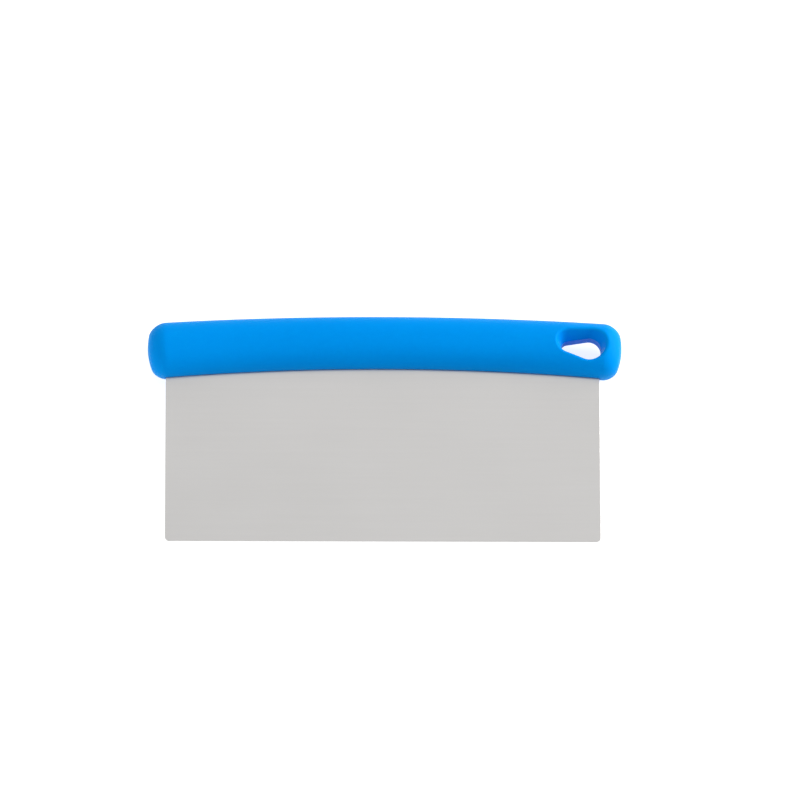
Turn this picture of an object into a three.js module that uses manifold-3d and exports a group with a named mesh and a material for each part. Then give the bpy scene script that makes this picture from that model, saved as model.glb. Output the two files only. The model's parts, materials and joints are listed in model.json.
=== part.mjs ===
// Bench scraper: a stainless steel blade with a plastic grip moulded round its tang.
// Millimetres. The tool is drawn flat in its own plane (x across the blade, y from the
// scraping edge to the grip, z through the thickness) and is then tilted by the small
// angle at which it lies on a worktop.
import * as THREE from "three";
import { mergeVertices } from "three/addons/utils/BufferGeometryUtils.js";
import Module from "manifold-3d";

const wasm = await Module();
wasm.setup();

// Blade: a rectangular blank of sheet steel
const BLADE_WIDTH = 210;
const BLADE_HEIGHT = 100; // scraping edge to the top of the hidden tang
const BLADE_THICKNESS = 1;
const BLADE_CENTRE_X = -1; // the grip overhangs a little more on the hanging-hole side
const BLADE_CORNER_R = 2;
const BLADE_DEBURR = 0.12; // flat taken off every outer edge
const BLADE_FIELD_TOP = 78; // the clear face below the grip ends here

// Holes punched through the tang, which the grip's plastic fills
const LOCK_HOLE_R = 4;
const LOCK_HOLE_Y = 93.5;
const LOCK_HOLE_FIRST_X = -90;
const LOCK_HOLE_PITCH = 30;
const LOCK_HOLE_COUNT = 6;

// Corner cut out of the tang so that it clears the hanging hole
const NOTCH_X = 79;
const NOTCH_Y = 86;
const NOTCH_R = 3;

// Grip: two arcs seen from the front, a rounded section across
const GRIP_LENGTH = 229.6; // on its centre line
const GRIP_THICKNESS = 22;
const GRIP_BOTTOM_Y = 85.95; // at mid length
const GRIP_BOTTOM_R = 1241;
const GRIP_TOP_Y = 112.1; // at mid length
const GRIP_TOP_R = 1765;
const GRIP_SECTION_POWER = 2.25; // 2 is an ellipse, more is squarer
const GRIP_CORNER_TOP = 6.3;
const GRIP_CORNER_BOTTOM = 5;
const GRIP_END_ROUND = 6; // end rounding through the thickness
const GRIP_END_DOME = 3.2; // how far the end faces swell out
const GRIP_END_LEAN = THREE.MathUtils.degToRad(4); // square to the grip's curve

// Hanging hole: a teardrop with its point towards the middle of the grip. Its wall is
// straight on a land about the mid plane and flares out to a blunter outline at each face.
const HOLE_LAND = {
  x: 98.8, // centre of the round end
  y: 95,
  round: 6,
  point: 3,
  centres: 10.3, // from the round end's centre to the point's
  tilt: THREE.MathUtils.degToRad(8), // the point is a little higher
};
const HOLE_MOUTH = {
  x: 98.85,
  y: 97.05,
  round: 7.95,
  point: 5.9,
  centres: 9.2,
  tilt: THREE.MathUtils.degToRad(8.3),
};
const HOLE_LAND_Z = 3.7; // half height of the land
const HOLE_MOUTH_Z = 9; // height of the mouth's outline above the mid plane
const HOLE_RIM_ROUND = 1.7; // rolled edge at the far side of the round end
const HOLE_RIM_POINT = 1.1; // rolled edge at the point

const FIT_GAP = 0.25; // between the steel and the plastic

// Fineness of the curved surfaces
const GRIP_SPANS = 24; // rings along the grip between its ends
const GRIP_AROUND = 44; // points on each ring
const GRIP_END_HUB = 12; // the end rings' rays start this far inside the end
const GRIP_END_LEANS = 11; // rings on each end
const GRIP_END_STEP = THREE.MathUtils.degToRad(7); // between those rings' rays
const RIM_ANGLES = [0, 16, 32, 48, 64, 80].map(THREE.MathUtils.degToRad);
const CUT_PAST = 1.5; // how far the hole's cutter reaches past the grip's faces
const POCKET_PAST = 5; // how far the tang's pocket reaches below the clear face's top

const halfThick = GRIP_THICKNESS / 2;

// ---- helpers -------------------------------------------------------------

function toManifold(geometry) {
  const plain = geometry.clone();
  plain.deleteAttribute("normal");
  plain.deleteAttribute("uv");
  const merged = mergeVertices(plain, 1e-5);
  const mesh = new wasm.Mesh({
    numProp: 3,
    vertProperties: Float32Array.from(merged.attributes.position.array),
    triVerts: Uint32Array.from(merged.index.array),
  });
  mesh.merge();
  return new wasm.Manifold(mesh);
}

function fromManifold(solid) {
  const mesh = solid.getMesh();
  const geometry = new THREE.BufferGeometry();
  geometry.setAttribute("position", new THREE.BufferAttribute(mesh.vertProperties, 3));
  geometry.setIndex(new THREE.BufferAttribute(mesh.triVerts, 1));
  return shaded(geometry);
}

function shaded(geometry) {
  const flat = geometry.toNonIndexed();
  flat.computeVertexNormals();
  return flat;
}

function indexed(points, triangles) {
  const geometry = new THREE.BufferGeometry();
  const flat = points.flatMap((p) => [p.x, p.y, p.z]);
  geometry.setAttribute("position", new THREE.Float32BufferAttribute(flat, 3));
  geometry.setIndex(triangles);
  return geometry;
}

// Points of a circular arc, both ends included, angles in degrees
function arc(cx, cy, radius, from, to, steps) {
  return Array.from({ length: steps + 1 }, (_, i) => {
    const a = THREE.MathUtils.degToRad(from + ((to - from) * i) / steps);
    return new THREE.Vector2(cx + radius * Math.cos(a), cy + radius * Math.sin(a));
  });
}

// Triangles between rings of equal length, then a fan on the first and the last ring
function skinRings(rings, firstCentre, lastCentre) {
  const n = rings[0].length;
  const points = rings.flat();
  const triangles = [];
  for (let r = 0; r + 1 < rings.length; r += 1) {
    for (let i = 0; i < n; i += 1) {
      const a = r * n + i;
      const b = r * n + ((i + 1) % n);
      triangles.push(a, b, b + n, a, b + n, a + n);
    }
  }
  const first = points.push(firstCentre) - 1;
  const last = points.push(lastCentre) - 1;
  const base = (rings.length - 1) * n;
  for (let i = 0; i < n; i += 1) {
    const j = (i + 1) % n;
    triangles.push(first, j, i);
    triangles.push(last, base + i, base + j);
  }
  return indexed(points, triangles);
}

// ---- blade ---------------------------------------------------------------

// Clear face, anticlockwise from its top left corner round the scraping edge
function fieldOutline(inset) {
  const left = BLADE_CENTRE_X - BLADE_WIDTH / 2 + inset;
  const right = BLADE_CENTRE_X + BLADE_WIDTH / 2 - inset;
  const r = BLADE_CORNER_R;
  return [
    new THREE.Vector2(left, BLADE_FIELD_TOP),
    ...arc(left + r, inset + r, r, 180, 270, 8),
    ...arc(right - r, inset + r, r, 270, 360, 8),
    new THREE.Vector2(right, BLADE_FIELD_TOP),
  ];
}

// Tang, anticlockwise from the clear face's right corner over the notch and the top
function tangOutline(inset) {
  const left = BLADE_CENTRE_X - BLADE_WIDTH / 2 + inset;
  const right = BLADE_CENTRE_X + BLADE_WIDTH / 2 - inset;
  const top = BLADE_HEIGHT - inset;
  const notchX = NOTCH_X - inset;
  const notchY = NOTCH_Y - inset;
  const r = BLADE_CORNER_R;
  const inner = NOTCH_R + inset;
  return [
    ...arc(right - r, notchY - r, r, 0, 90, 6),
    ...arc(notchX + inner, notchY + inner, inner, 270, 180, 6),
    ...arc(notchX - r, top - r, r, 0, 90, 6),
    ...arc(left + r, top - r, r, 90, 180, 6),
  ];
}

function lockHoleCentres() {
  return Array.from({ length: LOCK_HOLE_COUNT }, (_, i) => (
    new THREE.Vector2(LOCK_HOLE_FIRST_X + i * LOCK_HOLE_PITCH, LOCK_HOLE_Y)
  ));
}

function lockHoleOutlines() {
  return lockHoleCentres().map((c) => arc(c.x, c.y, LOCK_HOLE_R, 0, 360, 32).slice(0, -1));
}

// One flat face as point-index triangles: the clear face and the tang are kept apart
// along their shared line, so no triangle of the clear face runs under the grip.
function faceTriangles(field, tang, holes) {
  const tangIndex = tang.map((_, i) => field.length + i);
  const last = field.length - 1;
  const tangLoop = [field[0], field[last], ...tang];
  const tangLoopIndex = [0, last, ...tangIndex];
  let next = field.length + tang.length;
  const holeIndex = holes.map((hole) => hole.map(() => next++));
  const lower = THREE.ShapeUtils.triangulateShape(field, []);
  const all = [...tangLoopIndex, ...holeIndex.flat()];
  const upper = THREE.ShapeUtils.triangulateShape(tangLoop, holes)
    .map((t) => t.map((i) => all[i]));
  return [...lower, ...upper];
}

function bladeGeometry() {
  const half = BLADE_THICKNESS / 2;
  const holes = lockHoleOutlines();
  const flatLoop = [...fieldOutline(BLADE_DEBURR), ...tangOutline(BLADE_DEBURR)];
  const fullLoop = [...fieldOutline(0), ...tangOutline(0)];
  const holePoints = holes.flat();
  const n = fullLoop.length;
  const layer = n + holePoints.length;
  const lift = (loop, z) => loop.map((p) => new THREE.Vector3(p.x, p.y, z));
  const points = [
    ...lift([...flatLoop, ...holePoints], -half),
    ...lift([...flatLoop, ...holePoints], half),
    ...lift(fullLoop, -half + BLADE_DEBURR),
    ...lift(fullLoop, half - BLADE_DEBURR),
  ];
  const rearRim = 2 * layer;
  const frontRim = rearRim + n;
  const triangles = [];
  const wall = (low, high, count) => {
    for (let i = 0; i < count; i += 1) {
      const j = (i + 1) % count;
      triangles.push(low + i, low + j, high + j, low + i, high + j, high + i);
    }
  };
  wall(0, rearRim, n);
  wall(rearRim, frontRim, n);
  wall(frontRim, layer, n);
  let start = n;
  for (const hole of holes) {
    wall(layer + start, start, hole.length); // faces the hole's axis
    start += hole.length;
  }
  const field = fieldOutline(BLADE_DEBURR);
  const tang = tangOutline(BLADE_DEBURR);
  for (const [a, b, c] of faceTriangles(field, tang, holes)) {
    triangles.push(a, c, b);
    triangles.push(layer + a, layer + b, layer + c);
  }
  return shaded(indexed(points, triangles));
}

// ---- grip ----------------------------------------------------------------

const arcDrop = (x, radius) => radius - Math.sqrt(radius * radius - x * x);
const gripBottom = (x) => GRIP_BOTTOM_Y - arcDrop(x, GRIP_BOTTOM_R);
const gripTop = (x) => GRIP_TOP_Y - arcDrop(x, GRIP_TOP_R);

// Inside both fields, with the edge between them rounded off
function roundedBoth(a, b, radius) {
  const corner = Math.hypot(Math.max(a + radius, 0), Math.max(b + radius, 0));
  return corner + Math.min(Math.max(a, b) + radius, 0) - radius;
}

// Centre height and half height of the grip at x
function gripSection(x) {
  const top = gripTop(x);
  const bottom = gripBottom(x);
  return { middle: (top + bottom) / 2, high: (top - bottom) / 2 };
}

// The grip without its hole: negative inside, zero on its surface, roughly a distance
function gripField(x, y, z) {
  const { middle, high } = gripSection(x);
  const power = GRIP_SECTION_POWER;
  const across = Math.abs(y - middle) / high;
  const through = Math.abs(z) / halfThick;
  const level = Math.max((across ** power + through ** power) ** (1 / power), 1e-6);
  const slopeY = (across / level) ** (power - 1) / high;
  const slopeZ = (through / level) ** (power - 1) / halfThick;
  const wall = (level - 1) / Math.hypot(slopeY, slopeZ);
  const dome = GRIP_END_DOME * Math.min(level, 1) ** 2;
  const reach = GRIP_LENGTH / 2 - dome + Math.tan(GRIP_END_LEAN) * (y - middle);
  const end = (Math.abs(x) - reach) * Math.cos(GRIP_END_LEAN);
  const corner = y > middle ? GRIP_CORNER_TOP : GRIP_CORNER_BOTTOM;
  const share = (across / level) ** power;
  return roundedBoth(wall, end, GRIP_END_ROUND + (corner - GRIP_END_ROUND) * share);
}

// Where a ray that starts inside the grip leaves it
function gripSurface(from, direction) {
  const at = (t) => from.clone().addScaledVector(direction, t);
  let near = 0;
  let far = GRIP_THICKNESS + GRIP_END_HUB; // outside the grip whichever way the ray goes
  for (let i = 0; i < 40; i += 1) {
    const t = (near + far) / 2;
    const { x, y, z } = at(t);
    if (gripField(x, y, z) < 0) near = t;
    else far = t;
  }
  return at(near);
}

// Height of the grip's front face above the mid plane
function gripFaceHeight(x, y) {
  return gripSurface(new THREE.Vector3(x, y, 0), new THREE.Vector3(0, 0, 1)).z;
}

// A ring of surface points seen from a centre on the grip's centre line, its rays
// leaning towards the grip's end by the given angle
function gripRing(x, lean, count) {
  const centre = new THREE.Vector3(x, gripSection(x).middle, 0);
  const along = Math.sign(x) * Math.sin(lean);
  return Array.from({ length: count }, (_, i) => {
    const a = (2 * Math.PI * i) / count;
    const y = Math.cos(a) * Math.cos(lean);
    const z = Math.sin(a) * Math.cos(lean);
    return gripSurface(centre, new THREE.Vector3(along, y, z));
  });
}

function gripBody() {
  const hub = GRIP_LENGTH / 2 - GRIP_END_HUB;
  const leans = Array.from({ length: GRIP_END_LEANS }, (_, i) => GRIP_END_STEP * (i + 1));
  const rings = [];
  for (const lean of [...leans].reverse()) rings.push(gripRing(-hub, lean, GRIP_AROUND));
  for (let i = 0; i <= GRIP_SPANS; i += 1) {
    rings.push(gripRing(-hub + (2 * hub * i) / GRIP_SPANS, 0, GRIP_AROUND));
  }
  for (const lean of leans) rings.push(gripRing(hub, lean, GRIP_AROUND));
  const tip = (x) => (
    gripSurface(new THREE.Vector3(x, gripSection(x).middle, 0), new THREE.Vector3(Math.sign(x), 0, 0))
  );
  return toManifold(skinRings(rings, tip(-hub), tip(hub)));
}

// Radius of the rolled edge, from the hole's point (0) to the far side (1)
function rimRadius(share) {
  return HOLE_RIM_POINT + (HOLE_RIM_ROUND - HOLE_RIM_POINT) * share;
}

// Teardrop loop as points that carry their outward direction and rim radius
function teardrop(outline) {
  const { round, point, centres } = outline;
  const lean = 90 - THREE.MathUtils.radToDeg(Math.asin((round - point) / centres));
  const bigEnd = arc(0, 0, round, lean - 180, 180 - lean, 28);
  const smallEnd = arc(-centres, 0, point, 180 - lean, 180 + lean, 14);
  return [...bigEnd, ...smallEnd].map((p, i) => {
    const centre = i < bigEnd.length ? 0 : -centres;
    const share = THREE.MathUtils.clamp((centres + p.x) / (centres + round), 0, 1);
    const out = new THREE.Vector2(p.x - centre, p.y).normalize();
    out.rotateAround(new THREE.Vector2(), -outline.tilt);
    const at = p.rotateAround(new THREE.Vector2(), -outline.tilt);
    at.add(new THREE.Vector2(outline.x, outline.y));
    return { at, out, rim: rimRadius(share) };
  });
}

// One ring of the cutter on the front (1) or rear (-1) side, its depth below the grip's
// face and its growth beyond the wall given as functions of the rim radius
function holeRing(side, depthOf, growthOf) {
  const mouth = teardrop(HOLE_MOUTH);
  return teardrop(HOLE_LAND).map(({ at, out, rim }, i) => {
    const wall = (height) => {
      const share = (height - HOLE_LAND_Z) / (HOLE_MOUTH_Z - HOLE_LAND_Z);
      return at.clone().lerp(mouth[i].at, share).addScaledVector(out, growthOf(rim));
    };
    const near = wall(HOLE_MOUTH_Z);
    const height = gripFaceHeight(near.x, near.y) - depthOf(rim);
    const p = wall(height);
    return new THREE.Vector3(p.x, p.y, side * height);
  });
}

function landRing(side) {
  return teardrop(HOLE_LAND).map(({ at }) => new THREE.Vector3(at.x, at.y, side * HOLE_LAND_Z));
}

// From the land out to beyond one face, with a rim rounding that follows the face
function holeRings(side) {
  const rims = RIM_ANGLES.map((t) => (
    holeRing(side, (rim) => rim * (1 - Math.sin(t)), (rim) => rim * (1 - Math.cos(t)))
  ));
  return [landRing(side), ...rims, holeRing(side, () => -CUT_PAST, (rim) => rim)];
}

function hangingHoleCutter() {
  const rings = [...holeRings(-1).reverse(), ...holeRings(1)];
  const tip = halfThick + CUT_PAST;
  const below = new THREE.Vector3(HOLE_MOUTH.x, HOLE_MOUTH.y, -tip);
  const above = new THREE.Vector3(HOLE_MOUTH.x, HOLE_MOUTH.y, tip);
  return toManifold(skinRings(rings, below, above));
}

// Room for the tang, a fit gap larger than the steel all round and open below
function tangPocket() {
  const left = BLADE_CENTRE_X - BLADE_WIDTH / 2 - FIT_GAP;
  const right = BLADE_CENTRE_X + BLADE_WIDTH / 2 + FIT_GAP;
  const below = BLADE_FIELD_TOP - POCKET_PAST;
  const shape = new THREE.Shape([
    new THREE.Vector2(left, below),
    new THREE.Vector2(right, below),
    ...tangOutline(-FIT_GAP),
  ]);
  const depth = BLADE_THICKNESS + 2 * FIT_GAP;
  const geometry = new THREE.ExtrudeGeometry(shape, { depth, bevelEnabled: false });
  return toManifold(geometry.translate(0, 0, -depth / 2));
}

// Plastic that has run through one punched hole, joining the grip's two halves
function lockPlug(centre) {
  const depth = BLADE_THICKNESS + 4 * FIT_GAP;
  const geometry = new THREE.CylinderGeometry(
    LOCK_HOLE_R - FIT_GAP,
    LOCK_HOLE_R - FIT_GAP,
    depth,
    32,
  );
  geometry.rotateX(Math.PI / 2);
  return toManifold(geometry.translate(centre.x, centre.y, 0));
}

function gripGeometry() {
  let solid = gripBody().subtract(hangingHoleCutter()).subtract(tangPocket());
  for (const centre of lockHoleCentres()) {
    solid = solid.add(lockPlug(centre));
  }
  return fromManifold(solid);
}

// ---- assembly ------------------------------------------------------------

const steel = new THREE.MeshStandardMaterial({
  color: 0xc9c9c7,
  roughness: 0.42,
  metalness: 1,
});
const bluePlastic = new THREE.MeshStandardMaterial({
  color: 0x0090e0,
  roughness: 0.4,
  metalness: 0,
});

// Lying down, the tool touches the worktop at the blade's rear lower edge and at the
// back of the grip, which is lowest at the two ends where the grip bends forward.
function restAngle(grip) {
  const points = grip.attributes.position;
  const edgeY = BLADE_DEBURR;
  const edgeZ = -BLADE_THICKNESS / 2;
  let steepest = 0;
  for (let i = 0; i < points.count; i += 1) {
    const fall = Math.atan2(edgeZ - points.getZ(i), points.getY(i) - edgeY);
    steepest = Math.max(steepest, fall);
  }
  return steepest;
}

const blade = new THREE.Mesh(bladeGeometry(), steel);
blade.name = "blade";

const handle = new THREE.Mesh(gripGeometry(), bluePlastic);
handle.name = "handle";

const tool = new THREE.Group();
tool.add(blade, handle);
tool.rotation.x = restAngle(handle.geometry);
tool.updateMatrixWorld(true);

// Stand it on z = 0 with the middle of its footprint at the origin
const box = new THREE.Box3().setFromObject(tool, true);
const middle = box.getCenter(new THREE.Vector3());
tool.position.set(-middle.x, -middle.y, -box.min.z);

const scraper = new THREE.Group();
scraper.add(tool);
scraper.updateMatrixWorld(true);

export default scraper;
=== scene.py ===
"""Looks of the bench scraper: a satin steel blade in a moulded blue plastic grip.

Shapes are made in the tool's own plane, in millimetres: x across the blade, y from the
scraping edge to the grip, z through the thickness, with the blade's mid plane at z = 0.
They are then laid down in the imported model's frame, in metres.
"""

import json
import math

import bmesh
import bpy
import numpy as np
from mathutils import Matrix, Vector


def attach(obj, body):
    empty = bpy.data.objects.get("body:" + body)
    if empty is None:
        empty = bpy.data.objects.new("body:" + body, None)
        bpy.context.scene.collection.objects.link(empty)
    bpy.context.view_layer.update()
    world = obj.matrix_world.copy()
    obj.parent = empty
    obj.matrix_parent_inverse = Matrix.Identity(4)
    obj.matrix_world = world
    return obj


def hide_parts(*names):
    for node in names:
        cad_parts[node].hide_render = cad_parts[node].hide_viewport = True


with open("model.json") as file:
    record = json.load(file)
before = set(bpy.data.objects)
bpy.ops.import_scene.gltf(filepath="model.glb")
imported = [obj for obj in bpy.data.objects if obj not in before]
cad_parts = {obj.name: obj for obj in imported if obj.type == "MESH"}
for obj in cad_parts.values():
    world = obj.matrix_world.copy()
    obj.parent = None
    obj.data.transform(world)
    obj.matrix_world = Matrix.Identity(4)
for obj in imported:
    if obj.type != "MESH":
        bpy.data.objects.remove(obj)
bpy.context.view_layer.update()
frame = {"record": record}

MM = 0.001

# ---- dimensions, as in the CAD part; the grip is a hair smaller, to stay inside it -------
BLADE_WIDTH = 210.0
BLADE_HEIGHT = 100.0
BLADE_THICKNESS = 1.0
BLADE_CENTRE_X = -1.0
BLADE_CORNER_R = 2.0
BLADE_DEBURR = 0.12

LOCK_HOLE_R = 4.0
LOCK_HOLE_Y = 93.5
LOCK_HOLE_XS = [-90.0 + 30.0 * i for i in range(6)]

NOTCH_X = 79.0
NOTCH_Y = 86.0
NOTCH_R = 3.0

GRIP_LENGTH = 229.54  # on its centre line
GRIP_THICKNESS = 21.98
GRIP_BOTTOM_Y = 85.95
GRIP_BOTTOM_R = 1241.0
GRIP_TOP_Y = 112.09
GRIP_TOP_R = 1765.0
GRIP_SECTION_POWER = 2.25
GRIP_CORNER_TOP = 6.3
GRIP_CORNER_BOTTOM = 5.0
GRIP_END_ROUND = 6.0
GRIP_END_DOME = 3.2
GRIP_END_LEAN = math.radians(4.0)

# hanging hole: the round end's centre and radius, the point's radius, the distance between
# their centres and the tilt of the line between them, on the straight land and at the mouth
HOLE_LAND = (98.8, 95.0, 6.0, 3.0, 10.3, math.radians(8.0))
HOLE_MOUTH = (98.85, 97.05, 7.95, 5.9, 9.2, math.radians(8.3))
HOLE_LAND_Z = 3.7
HOLE_MOUTH_Z = 9.0
HOLE_FLARE_LIMIT = 1.5  # flare is 0 on the land and 1 at the mouth, and runs on to this
HOLE_RIM_ROUND = 1.7  # rolled edge at the far side of the round end
HOLE_RIM_POINT = 1.1  # and at the point

MOULD_GAP = 0.02  # plastic to steel: they touch in the real tool
SLOT_LIP_R = 1.1  # rounding where the plastic meets the blade

# ---- how finely the meshes are cut -------------------------------------------------------
GRID_FINE = 0.35  # at both ends, round the hanging hole and through the thickness
GRID_COARSE = 1.25  # along the plain part between them
GRID_MARGIN = 1.0  # grid beyond the grip at both ends
GRID_LEFT_END = 9.0  # length of the fine part at the left end
GRID_HOLE_X = 78.0  # where the fine part for the hanging hole starts
GRID_SPAN = 1.06  # half height of the grid, in half heights of the grip's section
GRID_ROWS = 74
GRID_LAYERS = 34  # on each side of the mid plane

NEWTON_ROUNDS = 6
NEWTON_PROBE = 0.001
NEWTON_REACH = 0.33  # longest move in one round
NEWTON_LEAST_SLOPE = 0.05  # squared; keeps points still where the field is flat

CORNER_STEPS = 16  # arc steps of a corner in the open
TANG_STEPS = 12  # and of one inside the grip
LOCK_HOLE_STEPS = 64
DEBURR_STEPS = 3
WELD_DISTANCE = 0.0001
FLAT_COSINE = 0.999  # faces nearer the sheet's normal than this are shaded flat

# ---- where the tool lies -----------------------------------------------------------------
mounts = {m["name"]: m for m in frame["record"]["mounts"]}
edge_at = Vector(mounts["scraping_edge"]["pos_m"])
face_normal = Vector(mounts["blade_front_face"]["axis"])
LIE_ANGLE = math.atan2(-face_normal.y, face_normal.z)
TO_ROW = (
    Matrix.Translation(edge_at)
    @ Matrix.Rotation(LIE_ANGLE, 4, "X")
    @ Matrix.Translation((-BLADE_CENTRE_X * MM, 0.0, 0.0))
    @ Matrix.Scale(MM, 4)
)


# ---- the grip as an implicit surface -----------------------------------------------------
def arc_drop(x, radius):
    """How far an arc with its top at x = 0 has come down at x."""
    return radius - np.sqrt(radius * radius - x * x)


def grip_middle_and_half(x):
    """Centre height and half height of the grip's section at x."""
    bottom = GRIP_BOTTOM_Y - arc_drop(x, GRIP_BOTTOM_R)
    top = GRIP_TOP_Y - arc_drop(x, GRIP_TOP_R)
    return (top + bottom) / 2, (top - bottom) / 2


def rounded_both(a, b, radius):
    """Inside both fields, with the edge between them rounded off."""
    corner = np.hypot(np.maximum(a + radius, 0), np.maximum(b + radius, 0))
    return corner + np.minimum(np.maximum(a, b) + radius, 0) - radius


def grip_body(x, y, z):
    """The grip without its hole and pocket: superellipse sections with domed ends."""
    middle, half = grip_middle_and_half(x)
    p = GRIP_SECTION_POWER
    across = np.abs(y - middle) / half
    through = np.abs(z) / (GRIP_THICKNESS / 2)
    level = np.maximum((across**p + through**p) ** (1 / p), 1e-6)
    slope_y = (across / level) ** (p - 1) / half
    slope_z = (through / level) ** (p - 1) / (GRIP_THICKNESS / 2)
    section = (level - 1) / np.hypot(slope_y, slope_z)
    dome = GRIP_END_DOME * np.minimum(level, 1.0) ** 2
    reach = GRIP_LENGTH / 2 - dome + math.tan(GRIP_END_LEAN) * (y - middle)
    end = (np.abs(x) - reach) * math.cos(GRIP_END_LEAN)
    share = (across / level) ** p
    corner = np.where(y > middle, GRIP_CORNER_TOP, GRIP_CORNER_BOTTOM)
    return rounded_both(section, end, GRIP_END_ROUND + (corner - GRIP_END_ROUND) * share)


def hanging_hole(x, y, z):
    """Distance to the hole's wall, negative inside it, and the rim radius beside it."""
    flare = (np.abs(z) - HOLE_LAND_Z) / (HOLE_MOUTH_Z - HOLE_LAND_Z)
    flare = np.clip(flare, 0, HOLE_FLARE_LIMIT)
    at_z = [a + (b - a) * flare for a, b in zip(HOLE_LAND, HOLE_MOUTH)]
    round_x, round_y, round_r, point_r, centres, tilt = at_z
    c, s = np.cos(tilt), np.sin(tilt)
    along = -((x - round_x) * c - (y - round_y) * s)
    beside = np.abs((x - round_x) * s + (y - round_y) * c)
    lean = (round_r - point_r) / centres
    run = np.sqrt(1 - lean * lean)
    k = beside * -lean + along * run
    round_end = np.hypot(beside, along) - round_r
    point_end = np.hypot(beside, along - centres) - point_r
    side = beside * run + along * lean - round_r
    wall = np.where(k < 0, round_end, np.where(k > run * centres, point_end, side))
    share = np.clip((centres - along) / (centres + round_r), 0, 1)
    rim = HOLE_RIM_POINT + (HOLE_RIM_ROUND - HOLE_RIM_POINT) * share
    return wall, rim


def tang_pocket(x, y, z):
    """The space for the steel, with plugs of plastic through its locking holes."""
    left = BLADE_CENTRE_X - BLADE_WIDTH / 2
    right = BLADE_CENTRE_X + BLADE_WIDTH / 2
    sheet = np.maximum(np.maximum(left - x, x - right), y - BLADE_HEIGHT)
    notch = np.minimum(x - NOTCH_X, y - NOTCH_Y)
    flat = np.maximum(sheet, notch)
    pocket = np.maximum(np.abs(z) - BLADE_THICKNESS / 2, flat) - MOULD_GAP
    for cx in LOCK_HOLE_XS:
        plug = np.hypot(x - cx, y - LOCK_HOLE_Y) - (LOCK_HOLE_R - MOULD_GAP)
        pocket = np.maximum(pocket, -plug)
    return pocket


def grip_field(x, y, z):
    hole, rim = hanging_hole(x, y, z)
    shell = rounded_both(grip_body(x, y, z), -hole, rim)
    return rounded_both(shell, -tang_pocket(x, y, z), SLOT_LIP_R)


def spaced(start, stop, step):
    """Grid lines about a step apart, from start up to but not at stop."""
    return np.linspace(start, stop, max(2, round((stop - start) / step)), endpoint=False)


def surface_net(field, xs, vs, zs):
    """Quads of the zero surface of field(x, v, z) on a grid of lines, facing outwards.

    One point per crossed cell, at the mean of its edge crossings.
    """
    gx, gv, gz = np.meshgrid(xs, vs, zs, indexing="ij")
    value = field(gx, gv, gz)
    inside = value < 0
    lines = (gx, gv, gz)
    cells = tuple(n - 1 for n in value.shape)
    total = np.zeros((3,) + cells)
    count = np.zeros(cells)
    for axis in range(3):
        low = [slice(None)] * 3
        high = [slice(None)] * 3
        low[axis] = slice(None, -1)
        high[axis] = slice(1, None)
        low, high = tuple(low), tuple(high)
        crossed = inside[low] != inside[high]
        t = np.where(crossed, value[low] / np.where(crossed, value[low] - value[high], 1), 0)
        across = [a for a in range(3) if a != axis]
        for i in (0, 1):
            for j in (0, 1):
                pick = [slice(None)] * 3
                pick[across[0]] = slice(i, value.shape[across[0]] - 1 + i)
                pick[across[1]] = slice(j, value.shape[across[1]] - 1 + j)
                pick = tuple(pick)
                hit = crossed[pick]
                count += hit
                for k in range(3):
                    at = lines[k][low] + t * (lines[k][high] - lines[k][low])
                    total[k] += np.where(hit, at[pick], 0)
    used = count > 0
    number = np.full(cells, -1)
    number[used] = np.arange(used.sum())
    points = np.stack([total[k][used] / count[used] for k in range(3)], 1)
    quads = []
    for axis in range(3):
        low = [slice(1, -1)] * 3
        high = [slice(1, -1)] * 3
        low[axis] = slice(None, -1)
        high[axis] = slice(1, None)
        out = inside[tuple(low)] & ~inside[tuple(high)]
        back = ~inside[tuple(low)] & inside[tuple(high)]
        a, b = (axis + 1) % 3, (axis + 2) % 3
        for mask, turned in ((out, False), (back, True)):
            at = np.argwhere(mask)
            at[:, a] += 1
            at[:, b] += 1
            ring = []
            for i, j in ((-1, -1), (0, -1), (0, 0), (-1, 0)):
                cell = at.copy()
                cell[:, a] += i
                cell[:, b] += j
                ring.append(number[tuple(cell.T)])
            quad = np.stack(ring, 1)
            quads.append(quad[:, ::-1] if turned else quad)
    return points, np.concatenate(quads)


def onto_surface(field, points):
    """Newton steps along the field's gradient, none longer than NEWTON_REACH."""
    probes = np.eye(3) * NEWTON_PROBE
    for _ in range(NEWTON_ROUNDS):
        here = field(*points.T)
        slope = np.stack(
            [
                (field(*(points + probe).T) - field(*(points - probe).T)) / (2 * NEWTON_PROBE)
                for probe in probes
            ],
            1,
        )
        size = np.maximum((slope**2).sum(1), NEWTON_LEAST_SLOPE)
        move = -slope * (here / size)[:, None]
        length = np.linalg.norm(move, axis=1)
        held = np.minimum(1, NEWTON_REACH / np.maximum(length, 1e-9))
        points = points + move * held[:, None]
    return points


def lay_down(points):
    """Millimetre points in the tool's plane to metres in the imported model's frame."""
    m = np.array(TO_ROW)
    return points @ m[:3, :3].T + m[:3, 3]


def mesh_object(name, points, faces):
    """A smooth-shaded mesh that also carries its points in the tool's plane, in metres."""
    mesh = bpy.data.meshes.new(name)
    mesh.from_pydata(lay_down(points).tolist(), [], faces)
    mesh.polygons.foreach_set("use_smooth", [True] * len(mesh.polygons))
    tool = mesh.attributes.new("tool", "FLOAT_VECTOR", "POINT")
    tool.data.foreach_set("vector", (points * MM).astype(np.float32).ravel())
    mesh.update()
    obj = bpy.data.objects.new(name, mesh)
    bpy.context.scene.collection.objects.link(obj)
    return obj


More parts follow.
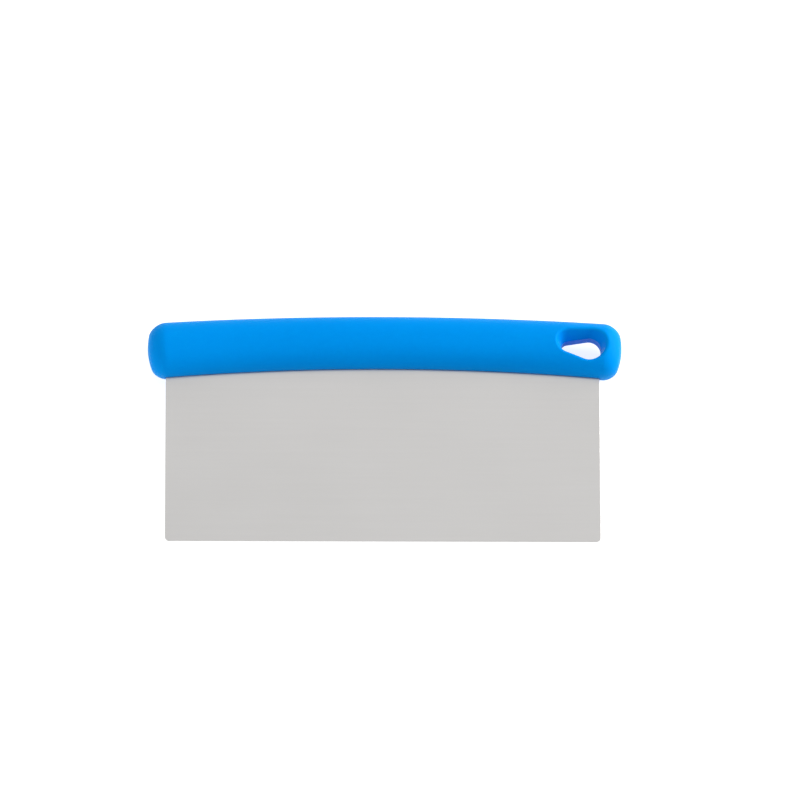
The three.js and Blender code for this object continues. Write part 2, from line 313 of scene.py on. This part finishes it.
def make_grip():
    """The grip's mesh, cut on a grid that follows its arch and then moved onto the surface."""
    half = GRIP_LENGTH / 2
    xs = np.concatenate(
        [
            spaced(-half - GRID_MARGIN, -half + GRID_LEFT_END, GRID_FINE),
            spaced(-half + GRID_LEFT_END, GRID_HOLE_X, GRID_COARSE),
            spaced(GRID_HOLE_X, half + GRID_MARGIN + GRID_FINE, GRID_FINE),
        ]
    )
    vs = np.linspace(-GRID_SPAN, GRID_SPAN, GRID_ROWS)
    zs = np.arange(-GRID_LAYERS, GRID_LAYERS + 1) * GRID_FINE

    def warped(x, v, z):
        middle, tall = grip_middle_and_half(x)
        return grip_field(x, middle + v * tall, z)

    net, quads = surface_net(warped, xs, vs, zs)
    middle, tall = grip_middle_and_half(net[:, 0])
    net[:, 1] = middle + net[:, 1] * tall
    points = onto_surface(grip_field, net)
    return mesh_object("grip", points, quads.tolist())


# ---- the blade ---------------------------------------------------------------------------
def arc_points(cx, cy, radius, start, end, steps):
    angles = np.radians(np.linspace(start, end, steps + 1))
    return [(cx + radius * math.cos(a), cy + radius * math.sin(a)) for a in angles]


def blade_outline():
    """The blank's outline, tang and notch included, anticlockwise."""
    left = BLADE_CENTRE_X - BLADE_WIDTH / 2
    right = BLADE_CENTRE_X + BLADE_WIDTH / 2
    r = BLADE_CORNER_R
    top = BLADE_HEIGHT
    return (
        arc_points(left + r, r, r, 180, 270, CORNER_STEPS)
        + arc_points(right - r, r, r, 270, 360, CORNER_STEPS)
        + arc_points(right - r, NOTCH_Y - r, r, 0, 90, TANG_STEPS)
        + arc_points(NOTCH_X + NOTCH_R, NOTCH_Y + NOTCH_R, NOTCH_R, 270, 180, TANG_STEPS)
        + arc_points(NOTCH_X - r, top - r, r, 0, 90, TANG_STEPS)
        + arc_points(left + r, top - r, r, 90, 180, TANG_STEPS)
    )


def make_blade():
    """A bevelled 2-D curve, so that every edge and punched hole is deburred alike."""
    loops = [blade_outline()]
    for cx in LOCK_HOLE_XS:
        loops.append(arc_points(cx, LOCK_HOLE_Y, LOCK_HOLE_R, 0, 360, LOCK_HOLE_STEPS)[:-1])
    curve = bpy.data.curves.new("blade_sheet", "CURVE")
    curve.dimensions = "2D"
    curve.fill_mode = "BOTH"
    curve.extrude = BLADE_THICKNESS / 2 - BLADE_DEBURR
    curve.bevel_depth = BLADE_DEBURR
    curve.bevel_resolution = DEBURR_STEPS
    curve.offset = -BLADE_DEBURR
    for loop in loops:
        spline = curve.splines.new("POLY")
        spline.points.add(len(loop) - 1)
        for point, (x, y) in zip(spline.points, loop):
            point.co = (x, y, 0.0, 1.0)
        spline.use_cyclic_u = True
    holder = bpy.data.objects.new("blade_sheet", curve)
    bpy.context.scene.collection.objects.link(holder)
    bpy.context.view_layer.update()
    evaluated = holder.evaluated_get(bpy.context.evaluated_depsgraph_get())
    bm = bmesh.new()
    bm.from_mesh(evaluated.to_mesh())
    bpy.data.objects.remove(holder)
    bmesh.ops.remove_doubles(bm, verts=bm.verts, dist=WELD_DISTANCE)
    bmesh.ops.recalc_face_normals(bm, faces=bm.faces)
    points = np.array([v.co[:] for v in bm.verts])
    faces = [[v.index for v in f.verts] for f in bm.faces]
    bm.free()
    obj = mesh_object("steel_blade", points, faces)
    sheet_normal = face_normal.normalized()
    for face in obj.data.polygons:
        face.use_smooth = abs(face.normal.dot(sheet_normal)) < FLAT_COSINE
    return obj


# ---- materials ---------------------------------------------------------------------------
BLUE_DARK = (0.0, 0.232, 0.69, 1.0)
BLUE_LIGHT = (0.0, 0.248, 0.73, 1.0)
BLUE_SHEEN = (0.05, 0.62, 1.0, 1.0)
STEEL_DARK = (0.57, 0.562, 0.555, 1.0)
STEEL_LIGHT = (0.59, 0.582, 0.575, 1.0)


class Nodes:
    """Short calls for building one material's node tree."""

    def __init__(self, name):
        self.material = bpy.data.materials.new(name)
        self.material.use_nodes = True
        self.tree = self.material.node_tree
        self.shader = self.tree.nodes["Principled BSDF"]

    def add(self, kind, inputs=None, **settings):
        node = self.tree.nodes.new(kind)
        for key, value in settings.items():
            setattr(node, key, value)
        for key, value in (inputs or {}).items():
            self.put(node.inputs[key], value)
        return node

    def put(self, socket, value):
        if hasattr(value, "outputs"):
            value = value.outputs[0]
        if hasattr(value, "is_linked"):
            self.tree.links.new(value, socket)
        else:
            socket.default_value = value

    def math(self, operation, a, b=0.0):
        return self.add("ShaderNodeMath", {0: a, 1: b}, operation=operation)

    def two_tone(self, share, dark, light):
        """Colour between two tones; sockets 6, 7 and 2 of a mix node are its colours."""
        node = self.add("ShaderNodeMix", {"Factor": share}, data_type="RGBA")
        self.put(node.inputs[6], dark)
        self.put(node.inputs[7], light)
        return node.outputs[2]

    def remap(self, value, low, high, to_low=0.0, to_high=1.0):
        return self.add(
            "ShaderNodeMapRange",
            {"Value": value, "From Min": low, "From Max": high, "To Min": to_low, "To Max": to_high},
        )

    def noise(self, vector, scale, detail=2.0, rough=0.5, stretch=(1.0, 1.0, 1.0)):
        at = self.add("ShaderNodeMapping", {"Vector": vector, "Scale": stretch})
        return self.add(
            "ShaderNodeTexNoise",
            {"Vector": at, "Scale": scale, "Detail": detail, "Roughness": rough},
        )

    def bump(self, height, distance, strength=1.0, under=None):
        node = self.add(
            "ShaderNodeBump", {"Height": height, "Distance": distance, "Strength": strength}
        )
        if under is not None:
            self.put(node.inputs["Normal"], under)
        return node


def tool_coordinates(nodes):
    """Metres in the tool's own plane, carried by the mesh."""
    return nodes.add("ShaderNodeAttribute", attribute_name="tool").outputs["Vector"]


def blue_plastic():
    n = Nodes("blue_polypropylene")
    at = tool_coordinates(n)
    s = n.shader
    # slow colour drift of the melt, and a faint mottle
    drift = n.noise(at, scale=28.0, detail=3.0, stretch=(0.35, 1.0, 1.0))
    mottle = n.noise(at, scale=420.0)
    tone = n.math("ADD", n.math("MULTIPLY", drift, 0.7), n.math("MULTIPLY", mottle, 0.3))
    share = n.remap(tone, low=0.35, high=0.65)
    n.put(s.inputs["Base Color"], n.two_tone(share, BLUE_DARK, BLUE_LIGHT))
    # satin mould finish, a little more polished in places
    wear = n.noise(at, scale=60.0, detail=4.0, rough=0.6)
    rough = n.remap(wear, low=0.3, high=0.7, to_low=0.40, to_high=0.47)
    n.put(s.inputs["Roughness"], rough)
    n.put(s.inputs["Specular IOR Level"], 0.04)
    n.put(s.inputs["Specular Tint"], BLUE_SHEEN)
    n.put(s.inputs["Subsurface Weight"], 0.12)
    n.put(s.inputs["Subsurface Radius"], (0.2, 0.6, 1.0))
    n.put(s.inputs["Subsurface Scale"], 0.0015)
    # grain of the mould, and the parting line on the mid plane
    grain = n.noise(at, scale=2600.0, rough=0.55)
    ripple = n.noise(at, scale=90.0, stretch=(0.4, 1.0, 1.0))
    z = n.add("ShaderNodeSeparateXYZ", {"Vector": at}).outputs["Z"]
    seam = n.remap(n.math("ABSOLUTE", z), low=0.00008, high=0.00022, to_low=1.0, to_high=0.0)
    b = n.bump(ripple, distance=0.00010, strength=0.5)
    b = n.bump(grain, distance=0.000012, strength=0.6, under=b)
    b = n.bump(seam, distance=0.00005, strength=0.8, under=b)
    n.put(s.inputs["Normal"], b)
    return n.material


def satin_steel():
    n = Nodes("satin_stainless")
    at = tool_coordinates(n)
    s = n.shader
    # grinding lines run across the blade
    lines = n.noise(at, scale=5200.0, detail=3.0, rough=0.7, stretch=(0.012, 1.0, 1.0))
    broad = n.noise(at, scale=700.0, detail=3.0, rough=0.6, stretch=(0.02, 1.0, 1.0))
    cloud = n.noise(at, scale=22.0, detail=3.0)
    tone = n.math("ADD", n.math("MULTIPLY", lines, 0.5), n.math("MULTIPLY", broad, 0.5))
    share = n.remap(tone, low=0.3, high=0.7)
    n.put(s.inputs["Base Color"], n.two_tone(share, STEEL_DARK, STEEL_LIGHT))
    n.put(s.inputs["Metallic"], 1.0)
    rough = n.remap(cloud, low=0.3, high=0.7, to_low=0.29, to_high=0.33)
    n.put(s.inputs["Roughness"], rough)
    b = n.bump(broad, distance=0.00001, strength=0.25)
    b = n.bump(lines, distance=0.000004, strength=0.35, under=b)
    n.put(s.inputs["Normal"], b)
    return n.material


# ---- pieces ------------------------------------------------------------------------------
grip = make_grip()
grip.data.materials.append(blue_plastic())
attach(grip, "root")
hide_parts("handle")

blade = make_blade()
blade.data.materials.append(satin_steel())
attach(blade, "root")
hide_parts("blade")


# ---- floor, light and camera -------------------------------------------------------------
FLOOR_HALF = 3.0
FLOOR_GREY = (0.5, 0.5, 0.5, 1.0)
FLOOR_GLOW = 0.76  # lifts the table to the white around the tool
WORLD_GLOW = 0.55
WHITE = (1.0, 1.0, 1.0)
WARM = (1.0, 0.97, 0.90)

# name, place and size in metres, watts, colour; all are aimed at the frame's origin
LIGHTS = (
    ("key", (1.9, 1.4, 1.3), (1.4, 1.0), 53.0, WARM),
    ("overhead", (0.15, 0.45, 1.9), (1.4, 1.4), 3.4, WHITE),
    ("right", (2.2, 0.3, 0.7), (1.2, 0.8), 31.0, WHITE),
    ("left", (-0.8, -0.5, 0.45), (0.5, 0.5), 3.2, WHITE),
)

CAMERA_TARGET = (7.36, 70.79, 0.0)  # in the tool's own plane, in millimetres
CAMERA_DISTANCE = 4.0
CAMERA_WIDTH = 0.38717  # width of the picture at the target, in metres
CAMERA_LEAN_DOWN = math.radians(15.8)
CAMERA_LEAN_LEFT = math.radians(1.04)
CAMERA_ROLL = math.radians(-0.13)
SENSOR_WIDTH = 36.0


def make_floor():
    size = FLOOR_HALF
    mesh = bpy.data.meshes.new("floor")
    corners = [(-size, -size, 0), (size, -size, 0), (size, size, 0), (-size, size, 0)]
    mesh.from_pydata(corners, [], [(0, 1, 2, 3)])
    obj = bpy.data.objects.new("floor", mesh)
    bpy.context.scene.collection.objects.link(obj)
    n = Nodes("white_table")
    n.put(n.shader.inputs["Base Color"], FLOOR_GREY)
    n.put(n.shader.inputs["Roughness"], 0.9)
    n.put(n.shader.inputs["Specular IOR Level"], 0.0)
    n.put(n.shader.inputs["Emission Color"], (*WHITE, 1.0))
    n.put(n.shader.inputs["Emission Strength"], FLOOR_GLOW)
    obj.data.materials.append(n.material)


def aim(obj, target):
    obj.rotation_mode = "QUATERNION"
    obj.rotation_quaternion = (target - obj.location).to_track_quat("-Z", "Y")


def softbox(name, location, size, power, colour):
    light = bpy.data.lights.new(name, "AREA")
    light.shape = "RECTANGLE"
    light.size, light.size_y = size
    light.energy = power
    light.color = colour
    obj = bpy.data.objects.new(name, light)
    bpy.context.scene.collection.objects.link(obj)
    obj.location = location
    aim(obj, Vector((0.0, 0.0, 0.0)))


def make_world():
    world = bpy.data.worlds.new("studio")
    world.use_nodes = True
    background = world.node_tree.nodes["Background"]
    background.inputs["Color"].default_value = (*WHITE, 1.0)
    background.inputs["Strength"].default_value = WORLD_GLOW
    bpy.context.scene.world = world


def make_camera():
    """A long lens over the blade's face, leaning towards the scraping edge and the left."""
    target = TO_ROW @ Vector(CAMERA_TARGET)
    back = Vector(
        (
            -math.sin(CAMERA_LEAN_LEFT),
            -math.sin(CAMERA_LEAN_DOWN) * math.cos(CAMERA_LEAN_LEFT),
            math.cos(CAMERA_LEAN_DOWN) * math.cos(CAMERA_LEAN_LEFT),
        )
    )
    up = (Vector((0, 1, 0)) - back * back.y).normalized()
    right = up.cross(back)
    turned_right = right * math.cos(CAMERA_ROLL) + up * math.sin(CAMERA_ROLL)
    turned_up = up * math.cos(CAMERA_ROLL) - right * math.sin(CAMERA_ROLL)
    turn = Matrix((turned_right, turned_up, back)).transposed()
    turn = Matrix.Rotation(LIE_ANGLE, 3, "X") @ turn
    data = bpy.data.cameras.new("camera")
    data.sensor_width = SENSOR_WIDTH
    data.lens = data.sensor_width * CAMERA_DISTANCE / CAMERA_WIDTH
    obj = bpy.data.objects.new("camera", data)
    bpy.context.scene.collection.objects.link(obj)
    obj.rotation_mode = "QUATERNION"
    obj.rotation_quaternion = turn.to_quaternion()
    obj.location = target + turn.col[2] * CAMERA_DISTANCE
    bpy.context.scene.camera = obj


make_floor()
make_world()
for light in LIGHTS:
    softbox(*light)
make_camera()
bpy.context.scene.view_settings.view_transform = "Standard"
